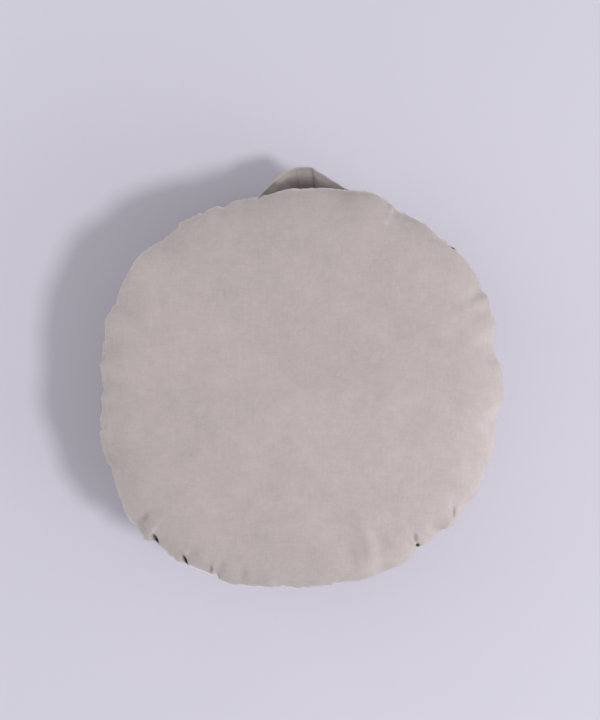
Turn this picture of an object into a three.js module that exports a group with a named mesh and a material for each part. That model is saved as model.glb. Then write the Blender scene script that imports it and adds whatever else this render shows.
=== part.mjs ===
// A round macaron pouf in velvet: two filled shells, the drawn-in waist band between them,
// and one fabric carry handle sewn to the band.
// Millimetres, +Z up. The origin is the centre of the flat base, and the handle points along +Y.

import * as THREE from "three";

// Driving dimensions
const RIM_RADIUS = 300; // mean radius at the rim seam of each shell
const POUF_HEIGHT = 240;
const WAIST_RADIUS = 262; // where the shells are gathered onto the band
const WAIST_HEIGHT = 48;
const PIECE_GAP = 0.3; // clearance between pieces that touch
const SHELL_HEIGHT = (POUF_HEIGHT - WAIST_HEIGHT) / 2 - PIECE_GAP;

const VELVET_COLOUR = 0xb4a9a9;
const VELVET_SIDE_COLOUR = 0xb0a4a2;
const VELVET_ROUGHNESS = 0.95;

// Each shell, measured up from its waist seam
const TOP_FORM = { rimLevel: 32, crownPower: 2.5, crownRise: SHELL_HEIGHT - 32 };
const BASE_FORM = { rimLevel: 41, crownPower: 3, crownRise: 63.5 };
const UNDER_POWER = 2.2; // roundness of the cloth between the rim seam and the waist seam
const CROWN_RINGS = 13;
const UNDER_RINGS = 6;
const RING_CROWDING = 1.7; // draws the crown's rings together towards the rim
const TOP_STEPS = 100; // even directions round each piece
const BASE_STEPS = 72;
const BAND_STEPS = 96;

// The rim seam lies in a shallow groove
const SEAM_GROOVE = { depth: 2.2, width: 4.5 };

// The outline bulges and flattens between its gathers: degrees round from +X, push outwards in mm
const TOP_LOBES = [
  { angle: 11.5, push: -6, spread: 4.5 },
  { angle: 34, push: 9, spread: 13 },
  { angle: 53, push: 3.4, spread: 5 },
  { angle: 70, push: 4.2, spread: 8 },
  { angle: 88, push: -5, spread: 7 },
  { angle: 104, push: -11.2, spread: 14 },
  { angle: 130, push: -3, spread: 5 },
  { angle: 145, push: 4.2, spread: 6.5 },
  { angle: 164.5, push: -3, spread: 4 },
  { angle: 179, push: -11.2, spread: 12 },
  { angle: 200, push: 3, spread: 5 },
  { angle: 218, push: 12.2, spread: 9 },
  { angle: 233, push: 9.5, spread: 9 },
  { angle: 249, push: 5, spread: 4.5 },
  { angle: 272, push: -6.8, spread: 13 },
  { angle: 285, push: -2.2, spread: 8 },
  { angle: 309, push: -4, spread: 5 },
  { angle: 329.5, push: 3.4, spread: 4 },
  { angle: 350.5, push: -4.2, spread: 5 },
];
const BASE_LOBES = [
  { angle: 20, push: 4, spread: 22 },
  { angle: 95, push: -5, spread: 24 },
  { angle: 160, push: 5, spread: 20 },
  { angle: 228, push: -4, spread: 18 },
  { angle: 300, push: 3, spread: 25 },
];

// Gathers pinched into the rim seam. depth and width are the pit's, rise is how far up the crown from the
// seam its middle lies, reach is how far it runs from there, ridge is the height of the roll of cloth
// beside it, and side is the way round the roll lies.
const TOP_GATHERS = [
  { angle: 10, depth: 3, width: 6, rise: 0, reach: 20, ridge: 1.2, side: 1 },
  { angle: 16, depth: 3, width: 6, rise: 0, reach: 24, ridge: 1.2, side: 1 },
  { angle: 42.6, depth: 4, width: 4, rise: 5, reach: 6, ridge: 2.2, side: -1 },
  { angle: 61, depth: 2.5, width: 6, rise: 0, reach: 12, ridge: 1, side: 1 },
  { angle: 102, depth: 3, width: 6, rise: 0, reach: 12, ridge: 1.2, side: -1 },
  { angle: 118.5, depth: 2.5, width: 5, rise: 0, reach: 14, ridge: 1.4, side: 1 },
  { angle: 127.5, depth: 2.5, width: 5, rise: 0, reach: 12, ridge: 1.8, side: -1 },
  { angle: 155, depth: 2, width: 6, rise: 0, reach: 12, ridge: 1.2, side: 1 },
  { angle: 171.9, depth: 3.5, width: 5, rise: 4, reach: 10, ridge: 1.6, side: 1 },
  { angle: 191.4, depth: 3.5, width: 5, rise: 4, reach: 10, ridge: 2.6, side: 1 },
  { angle: 203, depth: 2.5, width: 6, rise: 0, reach: 12, ridge: 1.2, side: -1 },
  { angle: 226.3, depth: 9, width: 4.6, rise: 15, reach: 9, ridge: 9, side: -1 },
  { angle: 236.4, depth: 8, width: 4.6, rise: 13, reach: 9, ridge: 3, side: -1 },
  { angle: 245.4, depth: 8, width: 5, rise: 5, reach: 12, ridge: 2, side: 1 },
  { angle: 253.5, depth: 2.5, width: 7, rise: 0, reach: 22, ridge: 1, side: 1 },
  { angle: 281, depth: 2.5, width: 6, rise: 0, reach: 12, ridge: 1.2, side: -1 },
  { angle: 294, depth: 2.5, width: 8, rise: 18, reach: 30, ridge: 1.8, side: -1 },
  { angle: 306.8, depth: 9, width: 4.6, rise: 6, reach: 10, ridge: 2, side: -1 },
  { angle: 321.2, depth: 3.5, width: 4, rise: 8, reach: 8, ridge: 2, side: -1 },
  { angle: 341.5, depth: 3, width: 6, rise: 0, reach: 14, ridge: 1, side: 1 },
  { angle: 350.5, depth: 3, width: 6, rise: 0, reach: 12, ridge: 1.2, side: -1 },
];
const BASE_GATHERS = [
  { angle: 24, depth: 5, width: 7, rise: 0, reach: 18, ridge: 2, side: 1 },
  { angle: 66, depth: 4, width: 7, rise: 0, reach: 16, ridge: 1.5, side: -1 },
  { angle: 101, depth: 6, width: 7, rise: 0, reach: 20, ridge: 2.5, side: 1 },
  { angle: 139, depth: 4.5, width: 7, rise: 0, reach: 18, ridge: 1.5, side: -1 },
  { angle: 178, depth: 6.5, width: 7, rise: 0, reach: 20, ridge: 2.5, side: 1 },
  { angle: 214, depth: 4, width: 7, rise: 0, reach: 16, ridge: 1.5, side: 1 },
  { angle: 249, depth: 6, width: 7, rise: 0, reach: 20, ridge: 2, side: -1 },
  { angle: 288, depth: 4.5, width: 7, rise: 0, reach: 16, ridge: 1.5, side: 1 },
  { angle: 331, depth: 5.5, width: 7, rise: 0, reach: 18, ridge: 2, side: -1 },
];

// How a gather is shaped, in widths of its pit
const ROLL_PLACE = 1.9; // from the pit's middle to the roll's
const ROLL_WIDTH = 1.4;
const UNDER_REACH = 0.8; // share of its reach that a gather runs below the rim seam
const DEEP_GATHER = 3.5; // a pit at least this deep, in mm, gets its own close directions
const CLOSE_DIRECTIONS = [-1.9, -0.9, 0, 0.9, 1.9];
const CLOSE_CLEARANCE = 1.1; // degrees from a close direction in which an even one is left out

// Small gathers that the waist seam draws up, as a few waves of unlike count round the shell
const WAIST_WAVES = [
  { count: 14, height: 1.1, turn: 40 },
  { count: 23, height: 1.3, turn: 155 },
  { count: 31, height: 0.9, turn: 250 },
];
const WAIST_WAVE_FADE = 0.8; // share of a half wave over which the gathers die out towards the rim
const BAND_BULGE = 4; // how far the filled band stands out halfway up
const BAND_POWER = 3; // how square the band's bulge is
const BAND_RIPPLE = 0.45; // share of the shells' gathers that carries into the band
const BAND_RINGS = 7;

// Carry handle, in its own frame: x along the wall, y outwards from the pouf's axis, z up from the
// middle of the waist band. lean tips the strap's upper edge outwards, and turn is the way it leans,
// round from +Y towards -X, both in degrees.
const STRAP_WIDTH = 46;
const STRAP_THICKNESS = 6;
const STRAP_LAP = 30; // length of each end that is sewn flat to the band
const STRAP_LAP_ROWS = 3;
const STRAP_STEP = 5;
const STRAP_EDGE_TURNS = [-90, -30, 30, 90]; // points round each rounded edge, in degrees
const STRAP_FLAT_SHARES = [0.5, 0, -0.5]; // points on each face, as shares of half its width
const LEFT_ROOT_ANGLE = 110;
const RIGHT_ROOT_ANGLE = 62;
const HANDLE_SPREAD = 42; // degrees of band that the sewn ends hold smooth
const STRAP_ROUTE = [
  { x: -73.2, y: 264, z: 0, lean: 10, turn: 32 },
  { x: -46, y: 286.6, z: -4, lean: 23, turn: 46 },
  { x: -30, y: 299.2, z: -10, lean: 29, turn: 44 },
  { x: -17.5, y: 311.4, z: -19, lean: 35, turn: 36 },
  { x: -12.5, y: 313.2, z: -23, lean: 38, turn: 20 },
  { x: 0.2, y: 316.8, z: -27, lean: 41, turn: 5 },
  { x: 21.4, y: 317.6, z: -27, lean: 42, turn: 13 },
  { x: 24.1, y: 317.6, z: -27, lean: 42, turn: 14 },
  { x: 26.2, y: 316.2, z: -26, lean: 41, turn: 11 },
  { x: 32.1, y: 309.2, z: -20, lean: 34, turn: -12 },
  { x: 45, y: 301.8, z: -16, lean: 27, turn: -27 },
  { x: 66, y: 292.4, z: -9, lean: 18, turn: -31 },
  { x: 91, y: 275, z: -1, lean: 9, turn: -28 },
  { x: 110, y: 256.5, z: 0, lean: 3, turn: -27 },
];

const radians = THREE.MathUtils.degToRad;

/** A smooth hill that is 1 at no offset and fades out over about twice its spread. */
function hill(offset, spread) {
  return Math.exp(-((offset / spread) ** 2));
}

/** The shorter way round from one direction to another, in degrees. */
function turnBetween(angle, from) {
  return THREE.MathUtils.euclideanModulo(angle - from + 180, 360) - 180;
}

/** The radius of a shell's rim in one direction. */
function rimRadius(angle, lobes) {
  const pushes = lobes.map((lobe) => lobe.push * hill(turnBetween(angle, lobe.angle), lobe.spread));
  return RIM_RADIUS + pushes.reduce((sum, push) => sum + push, 0);
}

/** How far the rim's gathers push the cloth out, or pull it in, s mm up the cloth from the rim seam. */
function gatherOffset(angle, s, gathers) {
  let offset = -SEAM_GROOVE.depth * hill(s, SEAM_GROOVE.width);
  for (const gather of gathers) {
    const along = radians(turnBetween(angle, gather.angle)) * RIM_RADIUS;
    const share = s > 0 ? 1 : UNDER_REACH;
    const pit = -gather.depth * hill(along, gather.width) * hill(s - gather.rise, gather.reach * share);
    const fromRoll = along - gather.side * gather.width * ROLL_PLACE;
    const rollFade = hill(s, (gather.rise + gather.reach) * share);
    const roll = gather.ridge * hill(fromRoll, gather.width * ROLL_WIDTH) * rollFade;
    offset += pit + roll;
  }
  return offset;
}

/** The height of the waist gathers in one direction. */
function waistWave(angle) {
  const heightOf = ({ count, height, turn }) => height * Math.sin(radians(count * angle + turn));
  return WAIST_WAVES.map(heightOf).reduce((sum, height) => sum + height, 0);
}

/** Directions round a shell: even steps, with closer ones where a gather is pinched in. */
function directionsFor(gathers, steps) {
  const even = Array.from({ length: steps }, (_, i) => (i * 360) / steps);
  const close = gathers
    .filter((gather) => gather.depth >= DEEP_GATHER)
    .flatMap((gather) => {
      const step = THREE.MathUtils.radToDeg(gather.width / RIM_RADIUS);
      return CLOSE_DIRECTIONS.map((widths) => gather.angle + widths * step);
    });
  const clearOf = (angle) => close.every((other) => Math.abs(turnBetween(angle, other)) > CLOSE_CLEARANCE);
  return [...even.filter(clearOf), ...close]
    .map((angle) => THREE.MathUtils.euclideanModulo(angle, 360))
    .sort((a, b) => a - b);
}

/** A closed mesh through rings of points, from the upper pole to the lower one. Each pole is one point. */
function closedThroughRings(upperPole, rings, lowerPole) {
  const count = rings[0].length;
  const points = [upperPole, ...rings.flat(), lowerPole];
  const at = (ring, i) => 1 + ring * count + (i % count);
  const faces = [];
  for (let i = 0; i < count; i += 1) {
    faces.push(0, at(0, i), at(0, i + 1));
    for (let ring = 0; ring < rings.length - 1; ring += 1) {
      faces.push(at(ring, i), at(ring + 1, i), at(ring + 1, i + 1));
      faces.push(at(ring, i), at(ring + 1, i + 1), at(ring, i + 1));
    }
    faces.push(at(rings.length - 1, i), points.length - 1, at(rings.length - 1, i + 1));
  }
  const geometry = new THREE.BufferGeometry().setFromPoints(points);
  geometry.setIndex(faces);
  geometry.computeVertexNormals();
  return geometry;
}

/** A shell's section in one direction: [radius, height, s] rows from the crown down to the waist seam. */
function shellSection(rim, form) {
  const rows = [];
  for (let ring = 1; ring <= CROWN_RINGS; ring += 1) {
    const share = 1 - (1 - ring / CROWN_RINGS) ** RING_CROWDING;
    const phi = (share * Math.PI) / 2;
    const rise = form.crownRise * Math.max(Math.cos(phi), 0) ** (2 / form.crownPower);
    rows.push([rim * Math.sin(phi) ** (2 / form.crownPower), form.rimLevel + rise]);
  }
  for (let ring = 1; ring <= UNDER_RINGS; ring += 1) {
    const phi = (ring / UNDER_RINGS) * (Math.PI / 2);
    const reach = (rim - WAIST_RADIUS) * Math.max(Math.cos(phi), 0) ** (2 / UNDER_POWER);
    rows.push([WAIST_RADIUS + reach, form.rimLevel * (1 - Math.sin(phi) ** (2 / UNDER_POWER))]);
  }
  const walked = [0];
  for (let i = 1; i < rows.length; i += 1) {
    walked.push(walked[i - 1] + Math.hypot(rows[i][0] - rows[i - 1][0], rows[i][1] - rows[i - 1][1]));
  }
  const rimSeam = walked[CROWN_RINGS - 1];
  return rows.map(([radius, height], i) => [radius, height, rimSeam - walked[i]]);
}

/** One filled shell, standing on its waist seam with its crown up. */
function shellGeometry(form, lobes, gathers, steps) {
  const directions = directionsFor(gathers, steps);
  const sections = directions.map((angle) => {
    const rows = shellSection(rimRadius(angle, lobes), form);
    return rows.map(([radius, height, s], i) => {
      const before = rows[Math.max(i - 1, 0)];
      const after = rows[Math.min(i + 1, rows.length - 1)];
      const slope = new THREE.Vector2(before[1] - after[1], after[0] - before[0]).normalize();
      const under = THREE.MathUtils.clamp(-s / form.rimLevel, 0, 1);
      const waist = waistWave(angle) * Math.sin(Math.PI * under * WAIST_WAVE_FADE);
      const onWaistSeam = i === rows.length - 1;
      const push = onWaistSeam ? 0 : gatherOffset(angle, s, gathers) + waist;
      const reach = radius + push * slope.x;
      const level = THREE.MathUtils.clamp(height + push * slope.y, 0, SHELL_HEIGHT);
      return new THREE.Vector3(reach * Math.cos(radians(angle)), reach * Math.sin(radians(angle)), level);
    });
  });
  const rings = sections[0].map((_, ring) => sections.map((section) => section[ring]));
  return closedThroughRings(new THREE.Vector3(0, 0, SHELL_HEIGHT), rings, new THREE.Vector3(0, 0, 0));
}

/** The band's outer radius, z mm above its middle. */
function bandRadius(z) {
  return WAIST_RADIUS + BAND_BULGE * (1 - Math.min(Math.abs((2 * z) / WAIST_HEIGHT), 1) ** BAND_POWER);
}

/** The filled waist band, centred on its own middle. */
function bandGeometry(steps) {
  const half = WAIST_HEIGHT / 2;
  const handleAngle = (LEFT_ROOT_ANGLE + RIGHT_ROOT_ANGLE) / 2;
  const rings = Array.from({ length: BAND_RINGS }, (_, ring) => {
    const z = half * Math.cos((Math.PI * ring) / (BAND_RINGS - 1));
    return Array.from({ length: steps }, (_, i) => {
      const angle = (i * 360) / steps;
      const heldByHandle = hill(turnBetween(angle, handleAngle), HANDLE_SPREAD);
      const ripple = waistWave(angle) * BAND_RIPPLE * (1 - (z / half) ** 2) * (1 - heldByHandle);
      const radius = bandRadius(z) + ripple;
      return new THREE.Vector3(radius * Math.cos(radians(angle)), radius * Math.sin(radians(angle)), z);
    });
  });
  return closedThroughRings(new THREE.Vector3(0, 0, half), rings, new THREE.Vector3(0, 0, -half));
}

/** The strap's middle line, its lean and its turn: flat along the band, round the loop, and flat again. */
function strapRows() {
  const wallRadius = bandRadius(0) + STRAP_THICKNESS / 2 + PIECE_GAP;
  const onWall = (angle) => ({
    x: wallRadius * Math.cos(radians(angle)),
    y: wallRadius * Math.sin(radians(angle)),
    z: 0,
    lean: 0,
    turn: angle - 90,
  });
  const lap = THREE.MathUtils.radToDeg(STRAP_LAP / wallRadius);
  const shares = Array.from({ length: STRAP_LAP_ROWS + 1 }, (_, i) => 1 - i / STRAP_LAP_ROWS);
  const left = shares.map((share) => onWall(LEFT_ROOT_ANGLE + lap * share));
  const right = shares.map((share) => onWall(RIGHT_ROOT_ANGLE - lap * share)).reverse();
  return [...left, ...STRAP_ROUTE, ...right];
}

/** The strap's section, a flat bar with rounded edges, as [across the width, through the cloth] points. */
function strapSection() {
  const round = STRAP_THICKNESS / 2;
  const straight = STRAP_WIDTH / 2 - round;
  const edge = (sign) => STRAP_EDGE_TURNS.map((turn) => [
    sign * (straight + round * Math.cos(radians(turn))),
    sign * round * Math.sin(radians(turn)),
  ]);
  const face = (sign) => STRAP_FLAT_SHARES.map((share) => [sign * straight * share, sign * round]);
  return [...edge(1), ...face(1), ...edge(-1), ...face(-1)];
}

/** The carry handle, one strap swept along its route. */
function handleGeometry() {
  const rows = strapRows();
  const curve = new THREE.CatmullRomCurve3(
    rows.map(({ x, y, z }) => new THREE.Vector3(x, y, z)),
    false,
    "centripetal",
  );
  const stations = Math.round(curve.getLength() / STRAP_STEP);
  const section = strapSection();
  const rings = Array.from({ length: stations + 1 }, (_, station) => {
    const t = curve.getUtoTmapping(station / stations);
    const middle = curve.getPoint(t);
    const along = curve.getTangent(t);
    const place = t * (rows.length - 1);
    const row = Math.min(Math.floor(place), rows.length - 2);
    const lean = radians(THREE.MathUtils.lerp(rows[row].lean, rows[row + 1].lean, place - row));
    const turn = radians(THREE.MathUtils.lerp(rows[row].turn, rows[row + 1].turn, place - row));
    const outward = new THREE.Vector3(-Math.sin(turn), Math.cos(turn), 0);
    const across = new THREE.Vector3(0, 0, Math.cos(lean)).addScaledVector(outward, Math.sin(lean));
    const through = across.clone().cross(along).normalize();
    return section.map(([w, h]) => middle.clone().addScaledVector(across, w).addScaledVector(through, h));
  });
  const meanOf = (ring) => {
    const sum = ring.reduce((total, point) => total.add(point), new THREE.Vector3());
    return sum.divideScalar(ring.length);
  };
  return closedThroughRings(meanOf(rings[0]), rings, meanOf(rings[rings.length - 1]));
}

/** One named piece of the pouf in the velvet. */
function velvetPiece(name, geometry, color) {
  const material = new THREE.MeshStandardMaterial({ color, roughness: VELVET_ROUGHNESS, metalness: 0 });
  const mesh = new THREE.Mesh(geometry, material);
  mesh.name = name;
  return mesh;
}

const seamLevel = WAIST_HEIGHT / 2 + PIECE_GAP;

const pouf = new THREE.Group();
const middle = new THREE.Group();
middle.position.z = POUF_HEIGHT / 2;
pouf.add(middle);

const topGeometry = shellGeometry(TOP_FORM, TOP_LOBES, TOP_GATHERS, TOP_STEPS);
const topShell = velvetPiece("top_shell", topGeometry, VELVET_COLOUR);
topShell.position.z = seamLevel;
middle.add(topShell);

const baseGeometry = shellGeometry(BASE_FORM, BASE_LOBES, BASE_GATHERS, BASE_STEPS);
const bottomShell = velvetPiece("bottom_shell", baseGeometry, VELVET_COLOUR);
bottomShell.rotation.x = Math.PI;
bottomShell.position.z = -seamLevel;
middle.add(bottomShell);

middle.add(velvetPiece("waist_band", bandGeometry(BAND_STEPS), VELVET_SIDE_COLOUR));
middle.add(velvetPiece("carry_handle", handleGeometry(), VELVET_SIDE_COLOUR));

export default pouf;
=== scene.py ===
"""Looks of a round macaron pouf in greige velvet: two puffed shells, the waist band and the carry handle.

Everything is in metres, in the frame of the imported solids: +Z up, with the handle towards +Y.
"""

import logging
import math
from dataclasses import dataclass, field
from enum import Enum

import bpy
import numpy as np
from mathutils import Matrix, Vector


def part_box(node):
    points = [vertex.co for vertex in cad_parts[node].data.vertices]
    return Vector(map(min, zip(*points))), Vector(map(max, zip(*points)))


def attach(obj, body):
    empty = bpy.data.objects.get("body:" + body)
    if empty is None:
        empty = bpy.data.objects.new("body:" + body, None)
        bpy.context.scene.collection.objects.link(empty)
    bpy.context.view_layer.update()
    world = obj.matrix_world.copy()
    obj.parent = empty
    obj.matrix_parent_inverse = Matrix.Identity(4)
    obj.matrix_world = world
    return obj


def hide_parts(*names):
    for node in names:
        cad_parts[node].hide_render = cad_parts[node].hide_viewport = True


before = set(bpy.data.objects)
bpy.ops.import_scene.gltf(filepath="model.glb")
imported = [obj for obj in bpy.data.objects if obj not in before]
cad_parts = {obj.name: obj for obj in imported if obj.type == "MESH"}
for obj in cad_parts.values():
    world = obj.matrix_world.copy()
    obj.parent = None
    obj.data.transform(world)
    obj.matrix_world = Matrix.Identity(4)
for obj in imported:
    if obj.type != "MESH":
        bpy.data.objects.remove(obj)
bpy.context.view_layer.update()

LOG = logging.getLogger("pouf")

# Driving sizes, shared by the pieces
RIM_RADIUS = 0.300
WAIST_RADIUS = 0.262
BAND_BULGE = 0.004
BAND_POWER = 3.0
PIECE_GAP = 0.0003
TINY = 1e-9
VELVET_COLOUR = (0.457, 0.398, 0.395)
BODY = "root"
CLOTH_UV = "cloth"
CREASE_SHADE_ATTRIBUTE = "crease"

# Where each panel's cloth starts on the shared cloth map
SIDE_STRIP_START = 1.0
BAND_START = 3.0
STRAP_START = 5.0


def hill(offset: np.ndarray, spread: float) -> np.ndarray:
    """A smooth hill that is 1 at no offset and fades out over about twice its spread."""
    return np.exp(-((offset / spread) ** 2))


def turn_between(angle: np.ndarray, start: float) -> np.ndarray:
    """The shorter way round from one direction to another, in degrees."""
    return (angle - start + 180.0) % 360.0 - 180.0


def smooth_step(value: np.ndarray, low: float, high: float) -> np.ndarray:
    """0 below low, 1 above high, and a smooth ramp between them."""
    share = np.clip((value - low) / (high - low), 0.0, 1.0)
    return share * share * (3.0 - 2.0 * share)


def polar(place: tuple[float, float]) -> np.ndarray:
    """The x and y of a place given as degrees round from +X and a radius."""
    angle = math.radians(place[0])
    return place[1] * np.array([math.cos(angle), math.sin(angle)])


def round_noise(angles: np.ndarray, fewest: int, most: int, seed: int) -> np.ndarray:
    """Uneven waves round the pouf that close on themselves.

    Args:
        angles: Directions in degrees.
        fewest: The fewest waves round the pouf.
        most: The most waves round the pouf.
        seed: Picks the waves' strengths and turns.

    Returns:
        One value for each direction, with a spread of about 1.
    """
    draw = np.random.default_rng(seed)
    counts = np.arange(fewest, most + 1)
    strengths = draw.normal(size=len(counts))
    turns = draw.uniform(0.0, 2.0 * math.pi, len(counts))
    waves = np.cos(np.radians(angles)[:, None] * counts + turns) @ strengths
    return waves / math.sqrt(len(counts) / 2.0)


def curve_through(known: np.ndarray, values: np.ndarray, wanted: np.ndarray) -> np.ndarray:
    """A smooth curve through rows of values.

    Args:
        known: Rising places of the rows.
        values: One row of numbers for each known place.
        wanted: Places to read the curve at.

    Returns:
        One row of numbers for each wanted place.
    """
    shape = (-1,) + (1,) * (values.ndim - 1)
    slopes = np.gradient(values, known, axis=0)
    wanted = np.clip(wanted, known[0], known[-1])
    at = np.clip(np.searchsorted(known, wanted, side="right") - 1, 0, len(known) - 2)
    step = (known[at + 1] - known[at]).reshape(shape)
    t = ((wanted - known[at]) / (known[at + 1] - known[at])).reshape(shape)
    start = (2 * t**3 - 3 * t**2 + 1) * values[at] + (t**3 - 2 * t**2 + t) * step * slopes[at]
    end = (3 * t**2 - 2 * t**3) * values[at + 1] + (t**3 - t**2) * step * slopes[at + 1]
    return start + end


def capped(moves: np.ndarray, cap: float | np.ndarray) -> np.ndarray:
    """Moves of which none is longer than a cap, and short ones hardly change."""
    size = np.linalg.norm(moves, axis=-1, keepdims=True)
    return moves * (cap * np.tanh(size / cap) / np.maximum(size, TINY))


def skin_faces(rings: int, count: int, first: int) -> list[tuple[int, ...]]:
    """The quads between closed rings of points.

    Args:
        rings: The number of rings.
        count: The points of each ring.
        first: The number of the first ring's first point.

    Returns:
        The faces as tuples of point numbers, ring after ring.
    """
    faces: list[tuple[int, ...]] = []
    for ring in range(rings - 1):
        upper_row = first + ring * count
        lower_row = upper_row + count
        for i in range(count):
            j = (i + 1) % count
            faces.append((upper_row + i, lower_row + i, lower_row + j, upper_row + j))
    return faces


def shown(name: str, mesh: bpy.types.Mesh) -> bpy.types.Object:
    """A new object of the scene.

    Args:
        name: The object's name.
        mesh: Its mesh.

    Returns:
        The object, at the origin.
    """
    piece = bpy.data.objects.new(name, mesh)
    bpy.context.scene.collection.objects.link(piece)
    return piece


def graded_steps(length: float, finest: float, widest: float, growth: float) -> np.ndarray:
    """Places from 0 to a length, close together at first and wider later.

    Args:
        length: Where the places end.
        finest: The first step.
        widest: The longest step.
        growth: How much longer each step is than the one before.

    Returns:
        Rising places, from 0 to length.
    """
    places = [0.0]
    step = finest
    while places[-1] < length:
        places.append(places[-1] + step)
        step = min(step * growth, widest)
    return np.array(places) * length / places[-1]


class Facing(Enum):
    """Which way a shell's crown points."""

    UP = 1.0
    DOWN = -1.0


@dataclass(frozen=True)
class Lobe:
    """A stretch of rim that bulges or lies flatter.

    angle is in degrees round from +X, push in metres and spread in degrees.
    """

    angle: float
    push: float
    spread: float


@dataclass(frozen=True)
class Gather:
    """A gather pinched into the rim seam: its pit, how far it runs on the crown, and the roll beside it.

    side is 1 where the roll lies further round from +X than the pit, and -1 where it lies less far.
    """

    angle: float
    depth: float
    width: float
    reach: float
    ridge: float
    side: int


@dataclass(frozen=True)
class GatherForm:
    """How every gather's pit and rolls are laid out, as shares of its own width, reach and ridge."""

    below_reach: float = 0.8
    narrowing: float = 0.9
    long_share: float = 0.45
    short_share: float = 0.55
    short_reach: float = 0.38
    roll_place: float = 1.9
    roll_width: float = 1.15
    roll_reach: float = 1.25
    far_place: float = 1.7
    far_reach: float = 0.7
    far_height: float = 0.2


@dataclass(frozen=True)
class Pit:
    """A slit where a gather is drawn in beside its roll, seen along the shell's axis; its depth shades it and
    painted shade darkens it further.

    place is (degrees round from +X, radius) and turn is the slit's way off the rim's own way in degrees. The
    sizes are half the slit's length, half its width, and its depth.
    """

    place: tuple[float, float]
    length: float
    width: float
    depth: float
    turn: float = 0.0


@dataclass(frozen=True)
class Fold:
    """A soft fold on the crown between two polar points: a ridge, or a valley with a height below 0."""

    start: tuple[float, float]
    end: tuple[float, float]
    height: float
    width: float


@dataclass
class Panels:
    """The closed skin of a piece: rings of points with a pole at each end, and each panel's cloth laid flat.

    rings is (ring, direction, xyz), flats holds one (first ring, cloth places) entry for each panel, whose
    places are (ring, direction + 1, uv), and crease is (ring, direction): the share of painted shade at each
    point.
    """

    rings: np.ndarray
    upper: np.ndarray
    lower: np.ndarray
    flats: list[tuple[int, np.ndarray]]
    crease: np.ndarray

    def corners(self) -> tuple[list[tuple[int, ...]], np.ndarray]:
        """The skin's faces with the cloth place of each corner.

        Returns:
            The faces as tuples of point numbers, and one (u, v) row for each of their corners in order.
        """
        rings, count = self.rings.shape[:2]
        first_flat = self.flats[0][1]
        last_flat = self.flats[-1][1]
        last = 1 + rings * count
        last_row = last - count
        faces = [(0, 1 + i, 1 + (i + 1) % count) for i in range(count)]
        faces.extend(skin_faces(rings, count, 1))
        faces.extend((last_row + i, last, last_row + (i + 1) % count) for i in range(count))
        places: list[np.ndarray] = []
        for i in range(count):
            places.extend([first_flat[0].mean(axis=0), first_flat[0, i], first_flat[0, i + 1]])
        for ring in range(rings - 1):
            flat = next(uv for first, uv in reversed(self.flats) if ring >= first)
            for i in range(count):
                places.extend([flat[ring, i], flat[ring + 1, i], flat[ring + 1, i + 1], flat[ring, i + 1]])
        for i in range(count):
            places.extend([last_flat[-1, i], last_flat[-1, i], last_flat[-1, i + 1]])
        return faces, np.array(places)

    def piece(self, name: str) -> bpy.types.Object:
        """A smooth object of the skin with its cloth map and crease attribute, which holds its painted shade.

        Args:
            name: The piece's name.

        Returns:
            The object.
        """
        faces, places = self.corners()
        points = np.vstack([self.upper[None], self.rings.reshape(-1, 3), self.lower[None]])
        mesh = bpy.data.meshes.new(name)
        mesh.from_pydata(points.tolist(), [], faces)
        mesh.uv_layers.new(name=CLOTH_UV).data.foreach_set("uv", places.astype(np.float32).ravel())
        # the crease attribute: how much painted shade the velvet gets at each point
        creases = np.concatenate([[0.0], self.crease.ravel(), [0.0]]).astype(np.float32)
        mesh.attributes.new(CREASE_SHADE_ATTRIBUTE, "FLOAT", "POINT").data.foreach_set("value", creases)
        mesh.polygons.foreach_set("use_smooth", np.ones(len(mesh.polygons), dtype=bool))
        mesh.update()
        return shown(name, mesh)


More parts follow.
